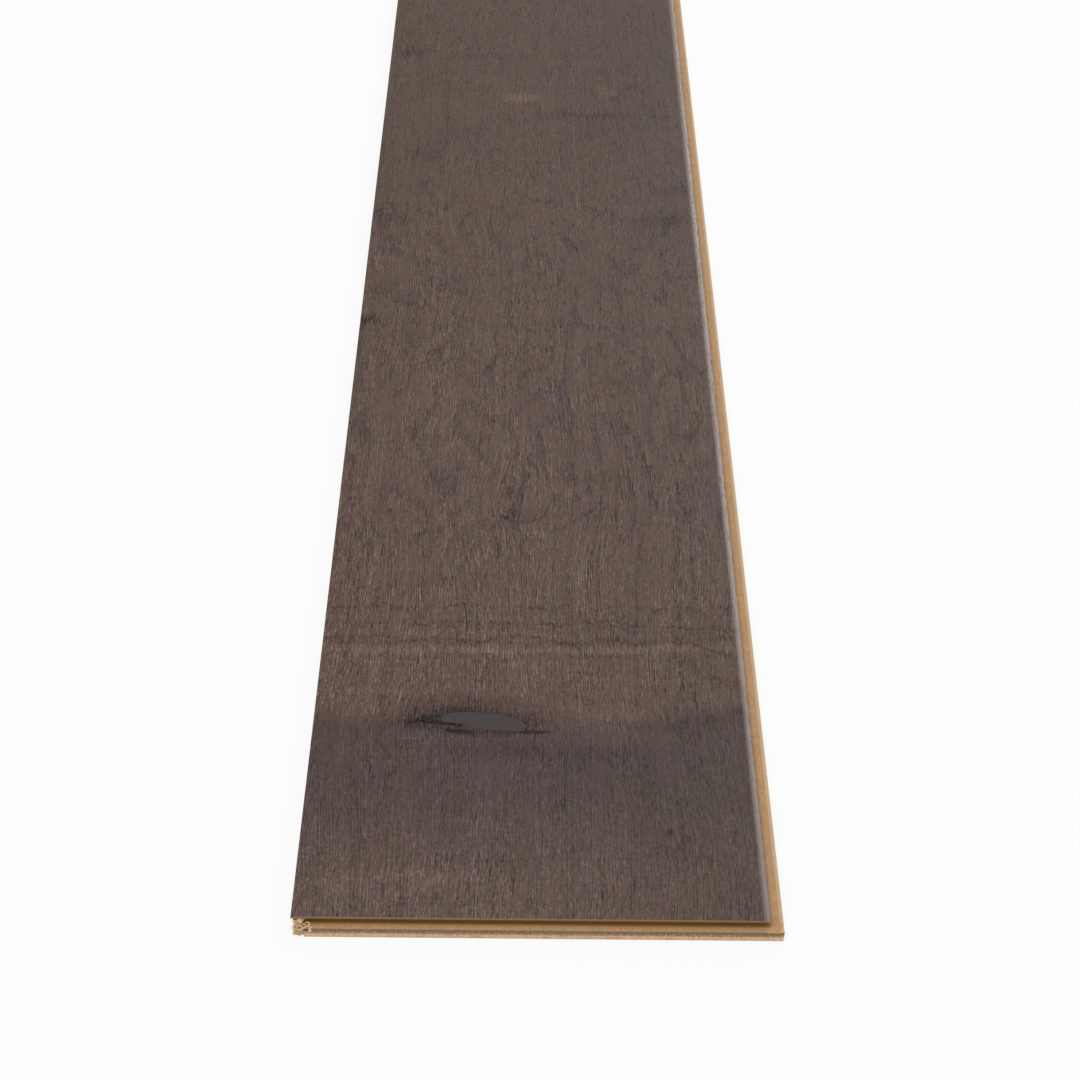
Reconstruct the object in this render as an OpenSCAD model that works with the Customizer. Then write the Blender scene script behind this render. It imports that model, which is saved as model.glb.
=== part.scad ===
// Engineered floorboard: a stained veneer face on a fibreboard core with a pale
// backing veneer. Millimetres. The board lies face up, its length along Y, with
// its underside on Z = 0. The lip side is +X and the lip end is -Y; the hook
// side is -X and the hook end is +Y. A hook of one board drops on a lip of the next.

/* [Board] */
// Width of the face, from joint plane to joint plane
face_w = 190; // [150:5:240]
// Length of the face, from joint plane to joint plane
face_l = 1220; // [600:10:2200]

/* [Layers] */
// Thickness of the stained face veneer
wear_t = 0.6; // [0.4:0.1:1]
// Thickness of the fibreboard core
core_t = 4.4; // [4.2:0.1:8]
// Thickness of the backing veneer
backing_t = 2.5; // [1:0.1:2.8]

/* [Rolled edges] */
// Width of the rolled bevel along each long side
roll_w = 2.8; // [2.4:0.1:4]
// Drop of the rolled bevel at the joint plane
roll_d = 0.6; // [0.3:0.1:0.7]

/* [Joint] */
// Depth of the lip's crest below the face
crest_depth = 2.8; // [2.6:0.1:3.2]
// Height of the crest over the hollow behind it
crest_h = 0.4; // [0.3:0.05:0.6]
// Width of the crest's flat top
crest_w = 1; // [0.8:0.1:1.2]
// Width of the slope from the crest down to the hollow
crest_slope = 0.4; // [0.2:0.05:0.5]
// Radius of the crest's outer edge
crest_r = 0.4; // [0.2:0.05:0.5]
// Depth of the groove cut in under the face's edge
groove_d = 2; // [1:0.1:3]
// How far the lip's outer face leans out from its foot to its crest
snap_lean = 0.25; // [0.15:0.05:0.35]
// Clearance between a hook and the lip that it sits on
fit_gap = 0.1; // [0.05:0.01:0.15]

/* [Long sides] */
// Reach of the lip past the joint plane on the long side
side_reach = 5.3; // [4:0.1:6]
// Fibreboard left under the veneer at the long side's edge
side_nose_t = 0.5; // [0.3:0.1:0.6]
// Set-back of the long side's hook from its joint plane
side_inset = 1.2; // [0.8:0.1:1.4]

/* [Short ends] */
// Reach of the lip past the joint plane on the short end
end_reach = 3.6; // [3.3:0.1:5]
// Fibreboard left under the veneer at the short end's edge
end_nose_t = 0.35; // [0.2:0.05:0.6]
// Set-back of the short end's hook from its joint plane
end_inset = 1; // [0.6:0.1:1.1]

/* [Filled knot] */
// Length of the filled knot, across the board
knot_l = 64; // [20:1:80]
// Width of the filled knot, along the board
knot_w = 18; // [6:1:24]
// Distance of the knot from the lip end's joint plane
knot_y = 127; // [60:1:300]
// Offset of the knot from the middle of the face
knot_x = -24; // [-50:0.5:50]
// Turn of the knot's long axis
knot_turn = -3; // [-30:1:30]

/* [Hidden] */
$fn = 96;

board_t = backing_t + core_t + wear_t;
overrun = 1;

// Joint planes and overall ends, with the whole outline centred on the origin
side_hook_x = -(face_w + side_reach) / 2;
end_lip_y = -(face_l + end_reach) / 2;
end_hook_y = end_lip_y + end_reach + face_l;

// Heights over the underside
crest_z = board_t - crest_depth;
hollow_z = crest_z - crest_h;
glue_z = backing_t + core_t;
// How far the roof under a nose comes down towards the hollow, going in
roof_share = 0.25;

// The rolled bevel is an arc that leaves the face as a tangent
roll_r = (pow(roll_w, 2) + pow(roll_d, 2)) / (2 * roll_d);
roll_wear_r = roll_r - wear_t;
side_nose_z = board_t - roll_r + sqrt(pow(roll_wear_r, 2) - pow(roll_w, 2)) - side_nose_t;
end_nose_z = glue_z - end_nose_t;

// Each arc of the knot's lens shape
knot_r = (pow(knot_l / 2, 2) + pow(knot_w / 2, 2)) / knot_w;

// Height of the sloping roof under a nose, at the groove's back and over the hook
function roof_z(nose_z) = nose_z - roof_share * (nose_z - hollow_z);

// Outline from the hook's joint plane at 0 to the lip's tip, in distance and height
function joint_outline(span, reach, nose_z, inset) =
    let (
        tip = span + reach,
        slope_out = reach - crest_w,
        slope_in = slope_out - crest_slope
    )
    [
        [reach - snap_lean + fit_gap, 0],
        [tip - snap_lean, 0],
        [tip, crest_z - crest_r],
        [tip, crest_z],
        [span + slope_out, crest_z],
        [span + slope_in, hollow_z],
        [span, hollow_z],
        [span, board_t],
        [0, board_t],
        [0, nose_z],
        [inset, roof_z(nose_z)],
        [inset, hollow_z + fit_gap],
        [slope_in - fit_gap, hollow_z + fit_gap],
        [slope_out - fit_gap, crest_z + fit_gap],
        [reach + fit_gap, crest_z + fit_gap]
    ];

// What is taken off a square corner at the origin to leave an arc of radius r
module corner_waste(r) {
    difference() {
        translate([-r, -r]) square(r + overrun);
        translate([-r, -r]) circle(r);
    }
}

// Groove cut in under a nose that ends at the origin, with a round back
module nose_groove(nose_z) {
    back_r = (roof_z(nose_z) - hollow_z) / 2;
    back = [back_r - groove_d, hollow_z + back_r];
    polygon(concat(
        [for (a = [90 : 22.5 : 270]) back + back_r * [cos(a), sin(a)]],
        [[overrun, hollow_z], [overrun, nose_z], [0, nose_z]]
    ));
}

// Section of the board between a hook and a lip, grooved and with its tip rounded
module joint_section(span, reach, nose_z, inset) {
    difference() {
        polygon(joint_outline(span, reach, nose_z, inset));
        translate([span, 0]) nose_groove(nose_z);
        translate([span + reach, crest_z]) corner_waste(crest_r);
    }
}

// What the rolled bevel takes off the section at its hook side, below a cover
module roll_waste(cover) {
    difference() {
        translate([-overrun, board_t - roll_r]) square([roll_w + overrun, roll_r + overrun]);
        translate([roll_w, board_t - roll_r]) circle(roll_r - cover);
    }
}

// Everything below the rolled face, less a cover, over the width of the face
module below_face(cover) {
    difference() {
        square([face_w, board_t - cover]);
        roll_waste(cover);
        translate([face_w, 0]) mirror([1, 0]) roll_waste(cover);
    }
}

// The section across the width, run along the length
module along_length() {
    translate([side_hook_x, end_hook_y, 0]) rotate([90, 0, 0])
        linear_extrude(face_l + end_reach) children();
}

// The section along the length, run across the width
module across_width() {
    translate([side_hook_x, end_hook_y, 0]) rotate([90, 0, -90]) mirror([0, 0, 1])
        linear_extrude(face_w + side_reach) children();
}

// Where each lip stops, level with the rebate that crosses its end
module lip_stops() {
    rebate_w = side_reach + fit_gap;
    rebate_l = end_reach + fit_gap;
    cut_h = board_t + 2 * overrun;
    translate([side_hook_x - overrun, end_lip_y - overrun, -overrun])
        cube([rebate_w + overrun, end_reach + overrun, cut_h]);
    translate([side_hook_x + face_w, end_hook_y - rebate_l, -overrun])
        cube([side_reach + overrun, rebate_l + overrun, cut_h]);
}

// The milled board as one block, before it is divided into its layers
module milled_block() {
    difference() {
        intersection() {
            along_length() joint_section(face_w, side_reach, side_nose_z, side_inset);
            across_width() joint_section(face_l, end_reach, end_nose_z, end_inset);
        }
        lip_stops();
    }
}

// Lens outline of the filled knot, at its place in the face
module knot_lens() {
    translate([side_hook_x + face_w / 2 + knot_x, end_lip_y + end_reach + knot_y])
        rotate(knot_turn)
            intersection() {
                translate([0, knot_r - knot_w / 2]) circle(knot_r);
                translate([0, knot_w / 2 - knot_r]) circle(knot_r);
            }
}

// Stained veneer: the face, rolled down along both long sides, open at the knot
module wear_layer() {
    color([0.38, 0.32, 0.29])
        difference() {
            translate([side_hook_x, end_hook_y, 0]) rotate([90, 0, 0])
                linear_extrude(face_l)
                    difference() {
                        below_face(0);
                        below_face(wear_t);
                    }
            translate([0, 0, glue_z - overrun])
                linear_extrude(wear_t + 2 * overrun) knot_lens();
        }
}

// Fibreboard core: carries the grooves, the lips and the hooks
module core_board() {
    color([0.62, 0.47, 0.31])
        intersection() {
            milled_block();
            along_length()
                union() {
                    below_face(wear_t);
                    square([face_w + side_reach, crest_z]);
                }
            translate([side_hook_x, end_lip_y, backing_t])
                cube([face_w + side_reach, face_l + end_reach, core_t]);
        }
}

// Backing veneer: the pale underside, out to the tips of both lips
module backing_layer() {
    color([0.8, 0.68, 0.52])
        intersection() {
            milled_block();
            translate([side_hook_x, end_lip_y, 0])
                cube([face_w + side_reach, face_l + end_reach, backing_t]);
        }
}

// Putty: fills the knot hole through the veneer, flush with the face
module knot_filler() {
    color([0.3, 0.27, 0.27])
        translate([0, 0, glue_z])
            linear_extrude(wear_t) knot_lens();
}

wear_layer();
core_board();
backing_layer();
knot_filler();
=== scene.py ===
# %% [markdown]
# # An engineered floorboard, dressed for a close look
# The board arrives as four finished solids: a stained face veneer, a fibreboard core with its
# milled click joints, a pale backing veneer, and the putty in a knot hole. This lesson gives
# them their surfaces, adds the small torn and frayed things that a saw leaves, and sets up a
# plain studio around them. We load the solids first and never move them.

import math

import bmesh
import bpy
import numpy
from mathutils import Matrix, Vector, geometry, noise


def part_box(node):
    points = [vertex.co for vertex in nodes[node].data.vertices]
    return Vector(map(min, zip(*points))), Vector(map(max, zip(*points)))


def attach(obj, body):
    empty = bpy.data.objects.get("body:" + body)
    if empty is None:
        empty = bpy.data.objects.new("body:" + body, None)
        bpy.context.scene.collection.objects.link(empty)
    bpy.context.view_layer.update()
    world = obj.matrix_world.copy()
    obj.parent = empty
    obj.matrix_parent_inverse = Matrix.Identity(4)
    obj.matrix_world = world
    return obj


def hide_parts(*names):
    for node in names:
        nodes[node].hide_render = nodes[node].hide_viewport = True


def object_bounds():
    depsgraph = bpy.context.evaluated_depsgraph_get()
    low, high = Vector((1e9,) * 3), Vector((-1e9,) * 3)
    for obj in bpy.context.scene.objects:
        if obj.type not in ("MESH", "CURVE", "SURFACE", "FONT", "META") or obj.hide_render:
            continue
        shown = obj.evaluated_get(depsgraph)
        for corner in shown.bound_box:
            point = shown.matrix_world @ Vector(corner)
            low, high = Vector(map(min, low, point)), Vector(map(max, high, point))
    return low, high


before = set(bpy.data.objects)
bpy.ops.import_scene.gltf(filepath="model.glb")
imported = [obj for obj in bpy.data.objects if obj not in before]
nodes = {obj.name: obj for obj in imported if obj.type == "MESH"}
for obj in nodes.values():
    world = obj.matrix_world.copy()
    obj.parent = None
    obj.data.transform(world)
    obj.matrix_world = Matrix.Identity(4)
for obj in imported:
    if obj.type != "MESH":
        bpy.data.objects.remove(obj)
solid_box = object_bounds()
print("solids:", sorted(nodes))

# %% [markdown]
# ## Where things are
# Every size below is read from the solids or is a real size in millimetres. The face has its
# own ruler: x runs across from the middle of the face, y runs along from the edge of the lip
# end, and z is zero on the face. Patterns and small pieces are all placed with that ruler.

# %% The face's own ruler
MM = 0.001
face_low, face_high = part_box("wear_layer")
core_low, core_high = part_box("core_board")
backing_low, backing_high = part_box("backing_layer")
face_origin = Vector(((face_low.x + face_high.x) / 2, face_low.y, face_high.z))
face_half = (face_high.x - face_low.x) / 2 / MM
board_t = face_high.z / MM
backing_t = backing_high.z / MM
end_reach = (face_low.y - core_low.y) / MM
side_reach = (core_high.x - face_high.x) / MM


def on_board(x, y, z=0.0):
    """A point given on the face's ruler, in metres in the board's frame."""
    return face_origin + Vector((x, y, z)) * MM


def off_floor(x, y, height):
    """The same, with the height over the floor in place of the depth under the face."""
    return on_board(x, y, height - board_t)


print("face half width %.1f mm, board %.1f mm thick" % (face_half, board_t))
print("lips reach %.1f mm and %.1f mm" % (side_reach, end_reach))

# %% [markdown]
# ## A small workbench for node trees
# Node trees read badly as long lists of links. The Bench below keeps them short: each call adds
# one node, fills its sockets with numbers or joins them to other nodes, and hands back the
# output, so a pattern reads like the sum that it is.


# %% The workbench
class Bench:
    """Adds nodes to one tree, sets their sockets and joins them."""

    def __init__(self, tree):
        self.tree = tree

    def plug(self, socket, value):
        """Join a socket to another node's output, or write a plain value on it."""
        if isinstance(value, bpy.types.NodeSocket):
            self.tree.links.new(value, socket)
        else:
            socket.default_value = value

    def add(self, kind, sockets=None, **settings):
        made = self.tree.nodes.new(kind)
        for name, value in settings.items():
            setattr(made, name, value)
        for name, value in (sockets or {}).items():
            self.plug(made.inputs[name], value)
        return made

    def math(self, operation, *values):
        made = self.add("ShaderNodeMath", operation=operation)
        for socket, value in zip(made.inputs, values):
            self.plug(socket, value)
        return made.outputs[0]

    def times(self, *values):
        result = values[0]
        for value in values[1:]:
            result = self.math("MULTIPLY", result, value)
        return result

    def plus(self, *values):
        result = values[0]
        for value in values[1:]:
            result = self.math("ADD", result, value)
        return result

    def swing(self, value, amount):
        """A noise that runs from 0 to 1, turned into a swing to both sides of zero."""
        return self.math("MULTIPLY_ADD", value, amount, -amount / 2)

    def vector(self, operation, *values):
        made = self.add("ShaderNodeVectorMath", operation=operation)
        for socket, value in zip(made.inputs, values):
            self.plug(socket, value)
        return made.outputs["Value" if operation in ("LENGTH", "DOT_PRODUCT") else "Vector"]

    def noise(self, place, detail=2.0, roughness=0.5):
        made = self.add("ShaderNodeTexNoise", {
            "Vector": place, "Scale": 1.0, "Detail": detail, "Roughness": roughness,
        })
        return made.outputs["Fac"]

    def stretched(self, place, scales, detail=2.0, roughness=0.5):
        """Noise with a scale of its own along each axis."""
        return self.noise(self.vector("MULTIPLY", place, scales), detail, roughness)

    def ramp(self, value, start, end, low=0.0, high=1.0):
        """A smooth step: low before start, high after end."""
        made = self.add("ShaderNodeMapRange", {
            "Value": value, "From Min": start, "From Max": end, "To Min": low, "To Max": high,
        }, interpolation_type="SMOOTHSTEP")
        return made.outputs["Result"]

    def tint(self, share, first, second, blend="MIX"):
        made = self.add("ShaderNodeMix", data_type="RGBA", blend_type=blend)
        for name, value in zip(("Factor_Float", "A_Color", "B_Color"), (share, first, second)):
            self.plug(next(s for s in made.inputs if s.identifier == name), value)
        return next(s for s in made.outputs if s.identifier == "Result_Color")

    def parts(self, vector):
        made = self.add("ShaderNodeSeparateXYZ", {"Vector": vector})
        return made.outputs["X"], made.outputs["Y"], made.outputs["Z"]

    def point(self, x, y, z=0.0):
        return self.add("ShaderNodeCombineXYZ", {"X": x, "Y": y, "Z": z}).outputs["Vector"]

    def group(self, tree, sockets):
        return self.add("ShaderNodeGroup", sockets, node_tree=tree).outputs


SOCKETS = {"value": "NodeSocketFloat", "vector": "NodeSocketVector", "colour": "NodeSocketColor"}


def new_group(name, takes, gives):
    """An empty shader group: takes and gives are lists of (socket name, kind, default)."""
    tree = bpy.data.node_groups.new(name, "ShaderNodeTree")
    for direction, sockets in (("INPUT", takes), ("OUTPUT", gives)):
        for label, kind, default in sockets:
            socket = tree.interface.new_socket(label, in_out=direction, socket_type=SOCKETS[kind])
            if default is not None:
                socket.default_value = default
    bench = Bench(tree)
    enter, leave = tree.nodes.new("NodeGroupInput"), tree.nodes.new("NodeGroupOutput")
    return tree, bench, enter.outputs, leave.inputs


def shade(red, green, blue):
    """A colour as a picture shows it, 0 to 255, turned into the linear light that shaders use."""
    def linear(c):
        c /= 255
        return c / 12.92 if c <= 0.04045 else ((c + 0.055) / 1.055) ** 2.4
    return (linear(red), linear(green), linear(blue), 1.0)


print("workbench ready, with", len(SOCKETS), "kinds of socket")

# %% [markdown]
# ## Effects that several finishes share
# Wood fibre and soft spots turn up in the veneer, the fibreboard and the backing, so each is one
# node group with named inputs, used with its own numbers in each place. A short function beside
# a group places it and fills its inputs.

# %% Fibre: noise stretched along the board
fibre_tree, bench, takes, gives = new_group(
    "Fibre",
    [("Place", "vector", None), ("Width", "value", 0.5), ("Length", "value", 20.0),
     ("Seed", "value", 0.0), ("Detail", "value", 2.0)],
    [("Value", "value", None)],
)
x, y, z = bench.parts(takes["Place"])
across = bench.math("DIVIDE", x, takes["Width"])
along = bench.math("DIVIDE", y, takes["Length"])
through = bench.plus(bench.math("DIVIDE", z, takes["Width"]), takes["Seed"])
streaks = bench.noise(bench.point(across, along, through), takes["Detail"], 0.6)
bench.plug(gives["Value"], streaks)


def fibre(bench, place, width, length, seed, detail=1.0):
    """Fibre noise of a width and length in millimetres, as one output."""
    return bench.group(fibre_tree, {
        "Place": place, "Width": width, "Length": length, "Seed": seed, "Detail": detail,
    })["Value"]


print("group:", fibre_tree.name)

# %% Soft spot: an oval mask with a feathered edge
spot_tree, bench, takes, gives = new_group(
    "Soft spot",
    [("Place", "vector", None), ("Centre", "vector", None), ("Across", "vector", None),
     ("Along", "vector", None), ("Feather", "value", 0.6)],
    [("Mask", "value", None)],
)
away = bench.vector("SUBTRACT", takes["Place"], takes["Centre"])
reach = bench.vector("LENGTH", bench.point(
    bench.vector("DOT_PRODUCT", away, takes["Across"]),
    bench.vector("DOT_PRODUCT", away, takes["Along"])))
inside = bench.ramp(reach, bench.math("SUBTRACT", 1.0, takes["Feather"]), 1.0, 1.0, 0.0)
bench.plug(gives["Mask"], inside)


def spot(bench, place, centre, reach, turn=0.0, feather=0.75):
    """A spot's mask, from its centre, its half lengths in millimetres and its turn in degrees."""
    turn = math.radians(turn)
    return bench.group(spot_tree, {
        "Place": place, "Centre": (*centre, 0), "Feather": feather,
        "Across": (math.cos(turn) / reach[0], math.sin(turn) / reach[0], 0),
        "Along": (-math.sin(turn) / reach[1], math.cos(turn) / reach[1], 0),
    })["Mask"]


print("group:", spot_tree.name)

# %% [markdown]
# ## Groups for the figure alone
# The figure of a peeled veneer is fibres, the rings that cross them and the knots that bend
# both. Each of these is a group too, because each is used many times with other numbers.

# %% Knot flow: fibres that part around a knot
flow_tree, bench, takes, gives = new_group(
    "Knot flow",
    [("Place", "vector", None), ("Centre", "vector", None), ("Reach", "vector", None),
     ("Push", "value", 3.0)],
    [("Place", "vector", None)],
)
x, y, z = bench.parts(bench.vector("DIVIDE", bench.vector(
    "SUBTRACT", takes["Place"], takes["Centre"]), takes["Reach"]))
squared = bench.plus(bench.times(x, x), bench.times(y, y))
push = bench.times(x, bench.math("EXPONENT", bench.times(squared, -1.0)), takes["Push"], -1.0)
bench.plug(gives["Place"], bench.vector("ADD", takes["Place"], bench.point(push, 0.0)))
print("group:", flow_tree.name)

# %% Growth rings: lines at even steps of a distance, stepped to and fro by the fibres
rings_tree, bench, takes, gives = new_group(
    "Growth rings",
    [("Place", "vector", None), ("Distance", "value", 0.0), ("Spacing", "value", 8.0),
     ("Jag", "value", 2.0), ("Sharpness", "value", 6.0), ("Seed", "value", 0.0)],
    [("Line", "value", None), ("Phase", "value", None)],
)
ragged = fibre(bench, takes["Place"], 0.9, 30.0, takes["Seed"])
step = bench.times(bench.plus(ragged, -0.5), takes["Jag"], 4.0)
phase = bench.math("FRACT", bench.math(
    "DIVIDE", bench.plus(takes["Distance"], step), takes["Spacing"]))
bench.plug(gives["Line"], bench.math("POWER", phase, takes["Sharpness"]))
bench.plug(gives["Phase"], phase)
print("group:", rings_tree.name)

# %% Bristles: fibres side by side, each with its own run of light and dark
bristle_tree, bench, takes, gives = new_group(
    "Bristles",
    [("Place", "vector", None), ("Width", "value", 0.8), ("Length", "value", 8.0),
     ("Seed", "value", 0.0), ("Detail", "value", 1.0)],
    [("Value", "value", None), ("Own", "value", None)],
)
x, y, z = bench.parts(takes["Place"])
uneven = bench.swing(bench.noise(bench.point(
    bench.times(x, 0.45), bench.times(y, 0.05), takes["Seed"]), 0.0), 1.6)
which = bench.math("FLOOR", bench.math("DIVIDE", bench.plus(x, uneven), takes["Width"]))
own = bench.add("ShaderNodeTexWhiteNoise", {
    "Vector": bench.point(which, takes["Seed"])}).outputs["Value"]
run = bench.plus(bench.math("DIVIDE", y, takes["Length"]), bench.times(own, 97.0))
every_other = bench.math("PINGPONG", which, 1.0)
bench.plug(gives["Value"], bench.plus(bench.noise(
    bench.point(run, bench.times(own, 31.0), takes["Seed"]), takes["Detail"], 0.6),
    bench.swing(every_other, 0.16)))
bench.plug(gives["Own"], own)


def bristles(bench, place, width, length, seed, detail=1.0):
    """Bristles of a width and length in millimetres: both outputs."""
    return bench.group(bristle_tree, {
        "Place": place, "Width": width, "Length": length, "Seed": seed, "Detail": detail,
    })


print("group:", bristle_tree.name)

# %% Growth ring: one thin line where a distance passes a set value
ring_tree, bench, takes, gives = new_group(
    "Growth ring",
    [("Distance", "value", 0.0), ("At", "value", 50.0), ("Thickness", "value", 2.0)],
    [("Line", "value", None)],
)
off = bench.math("ABSOLUTE", bench.math("SUBTRACT", takes["Distance"], takes["At"]))
bench.plug(gives["Line"], bench.ramp(off, 0.0, takes["Thickness"], 1.0, 0.0))
print("group:", ring_tree.name)

# %% [markdown]
# ## The stained veneer
# The veneer was peeled from a log, so its growth rings arch around the knot as wandering lines
# and close into long loops further up, while the fibres run straight along the board. The stain
# sits in the pores as short dark dashes. A picture of the wood would fix one board at one
# size, so we work the tone out instead, as a sum: a base brown, moved by fibre, streaks, rings
# and pores, and by the marks that this very board has. The lists below place those marks.

# %% Marks of this board, on the face's ruler in millimetres
# Each mark: x, y, half length across, half length along, turn in degrees, darkening, redness
MARKS = {
    "smear over the knot": (-30, 140.5, 38, 12, -3, 0.25, 0.7),
    "halo left of the knot": (-57, 130, 17, 8, 0, 0.16, 0.9),
    "halo right of the knot": (5, 133, 17, 9, 0, 0.13, 0.4),
    "shade under the knot": (-15, 108, 38, 11, 0, 0.13, 0.8),
    "line over the pale bar": (-30, 187.3, 140, 1.9, 0.3, 0.13, 0.0),
    "line over its right end": (66, 191.4, 44, 1.7, 3.5, 0.13, 0.0),
    "line under the pale bar": (-10, 176.2, 120, 1.2, 0.5, 0.06, 0.0),
    "shade right of the knot": (30, 104, 34, 12, 0, 0.10, 0.4),
    "shade at the right edge": (86, 135, 24, 6, 10, 0.08, 0.5),
    "pin knot": (59.7, 54.0, 1.9, 2.9, 10, 0.42, 1.2),
    "pin knot's glow": (58.6, 60.0, 4.5, 5.5, 0, -0.06, 1.2),
    "shade by the pin knot": (60, 44, 12, 14, 0, 0.08, 0.2),
    "edge streak": (-89, 621.5, 14, 3.2, 0, 0.39, 0.4),
    "edge streak's stain": (-76, 613, 24, 5, 0, 0.16, 0.9),
    "edge smudge": (-92, 491, 13, 8, 0, 0.29, 0.2),
    "left bar": (-64, 508, 18, 1.6, 1, 0.26, 0.5),
    "left bar below": (-60, 489, 17, 2.2, -4, 0.16, 0.2),
    "slanting bar": (-58, 461, 20, 2.4, -28, 0.20, 0.2),
    "edge bar": (-88, 402, 10, 2.0, 0, 0.15, 0.2),
    "far band": (-80, 860, 20, 8, -4, 0.26, 0.3),
    "far band's tail": (-40, 852, 40, 5, 0, 0.11, 0.5),
    "far streak": (34, 762, 52, 7, 3, 0.16, 0.3),
    "far bars": (80, 760, 22, 3, 0, 0.15, 0.1),
    "right slant": (76, 616, 20, 17, 40, 0.20, 0.7),
    "right slant above": (80, 655, 18, 9, 30, 0.12, 0.5),
    "patch right of the eye": (29, 288, 7, 15, 0, 0.07, 0.0),
    "patch above": (43, 380, 9, 14, 12, 0.07, 0.0),
    "patch on the left": (-67, 372, 6, 16, 0, 0.06, 0.0),
    "patch high up": (-33, 426, 8, 7, 0, 0.07, 0.0),
    "low right patch": (18, 222, 6, 14, 0, 0.06, 0.0),
    "low left patch": (-39, 238, 8, 8, 0, 0.06, 0.0),
    "eye's pupil": (-7.2, 305.4, 1.7, 1.0, 0, 0.45, 0.6),
}
# Pale marks: the same, with how much lighter in place of darker
PALE_MARKS = {
    "pale bar": (-48, 181.0, 150, 4.4, 0.3, 0.17, 0.0),
    "pale bar's right end": (70, 184.6, 66, 4.6, 3.0, 0.16, 0.0),
    "pale bar below": (-10, 173, 130, 2.2, 0.5, 0.09, 0.0),
    "pale bar at the knot's left": (-75, 150, 22, 3.0, 0, 0.12, 0.0),
    "low pale bar": (30, 160, 62, 1.4, 0, 0.10, 0.0),
    "scratch": (-53, 116.2, 8, 0.35, 0, 0.55, 0.0),
    "scratch below": (-46, 112.4, 9, 0.25, 0, 0.3, 0.0),
    "far pale patch": (-9, 788, 19, 9, -6, 0.33, 0.6),
    "far pale spot": (45, 799, 10, 8, 0, 0.24, 0.4),
    "pale dash": (-86, 626.5, 8, 1.4, 0, 0.30, 0.0),
    "glow right of the knot": (36, 137, 24, 9, 0, 0.10, 0.2),
    "glow below it": (42, 118, 30, 8, 0, 0.07, 0.0),
    "glow at the near left": (-50, 22, 40, 12, 3, 0.10, 0.9),
}
print(len(MARKS), "dark marks and", len(PALE_MARKS), "pale ones")

# %% Knots, bends and rings, on the same ruler
# The middle of the filled knot, how much wider than long its rings are, and the small eye
KNOT_AT = (-25.0, 127.0)
RING_SPREAD = 2.3
EYE_AT = (-5.0, 304.0)
EYE_REACH = (12.5, 16.0)
# What the fibres flow around: x, y, reach across, reach along, push
FLOWS = {
    "eye": (-5, 304, 13, 17, 4.5),
    "eye's wide bend": (-5, 312, 44, 62, 10.0),
    "filled knot": (-25, 128, 44, 22, 6.0),
    "pin": (59.7, 54.0, 7, 12, 3.0),
    "left arch": (-60, 556, 26, 36, 7.0),
    "right bend": (50, 520, 34, 70, -9.0),
    "far bend": (40, 720, 40, 80, 8.0),
}
# Rings above and below the filled knot: distance from it, thickness, strength
RINGS = {
    "outermost": (90.0, 1.9, 0.8),
    "outer": (76.0, 1.9, 1.0),
    "outer's shadow": (71.5, 1.4, 0.7),
    "middle": (63.0, 2.0, 1.0),
    "inner": (51.5, 1.3, 0.8),
    "inner thread": (46.5, 0.9, 0.45),
    "faint": (38.0, 1.0, 0.35),
    "fainter": (31.0, 0.9, 0.3),
}
print(len(FLOWS), "bends and", len(RINGS), "rings")

# %% [markdown]
# ## The figure, one layer at a time
# One node group takes a place on the ruler and gives a colour, a roughness and a height. The
# veneer and the edge of the knot both use it, so the figure runs across their seam. It could be
# one long function, but each layer is easier to read, and to switch off, in a cell of its own.
# First comes the flow: the fibres lean and wander a little, and part around the knots.

# %% The figure's group, and the flow of its fibres
figure_tree, bench, takes, gives = new_group(
    "Veneer figure", [("Place", "vector", None)],
    [("Colour", "colour", None), ("Roughness", "value", None), ("Height", "value", None)],
)
place = takes["Place"]
x, y, z = bench.parts(place)
lean = bench.stretched(place, (0.008, 0.006, 0.0), 0.0)
waver = bench.stretched(place, (0.03, 0.022, 0.0), 1.0)
shift = bench.plus(bench.swing(lean, 14.0), bench.swing(waver, 3.0))
flowing = bench.vector("ADD", place, bench.point(shift, 0.0))
for across, along, wide, long, push in FLOWS.values():
    flowing = bench.group(flow_tree, {
        "Place": flowing, "Centre": (across, along, 0), "Reach": (wide, long, 1), "Push": push,
    })["Place"]
print("the fibres part at", len(FLOWS), "places")

# %% [markdown]
# ## Ragged outlines
# Nothing in wood ends in a clean curve. A ring is cut into steps, because each fibre ends a
# little higher or lower than the next, and the marks have wavering outlines. So we make two
# moved copies of the place here, and use them for all the rings and marks.

# %% Stepped and swayed places
steps = bristles(bench, flowing, 0.8, 60.0, 90.0)["Own"]
tall = bench.ramp(y, 210.0, 300.0, 2.6, 9.0)
stepped = bench.vector(
    "ADD", place, bench.point(0.0, bench.times(bench.plus(steps, -0.5), tall)))
step_x, step_y, step_z = bench.parts(stepped)
sway = bench.point(
    bench.swing(bench.stretched(place, (0.07, 0.10, 0.0), 1.0), 14.0),
    bench.swing(bench.stretched(place, (0.16, 0.05, 7.0), 2.0, 0.6), 8.0))
swayed = bench.vector("ADD", stepped, sway)
print("steps and sways ready")

# %% [markdown]
# ## Rings around the filled knot
# The rings arch around the knot, flat above and below it and steep at its sides. A fourth power
# in place of the usual square makes a circle boxy in just that way. The rings are broken here
# and there, faint below the knot, and one more curves like a smile near the end of the board.

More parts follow.
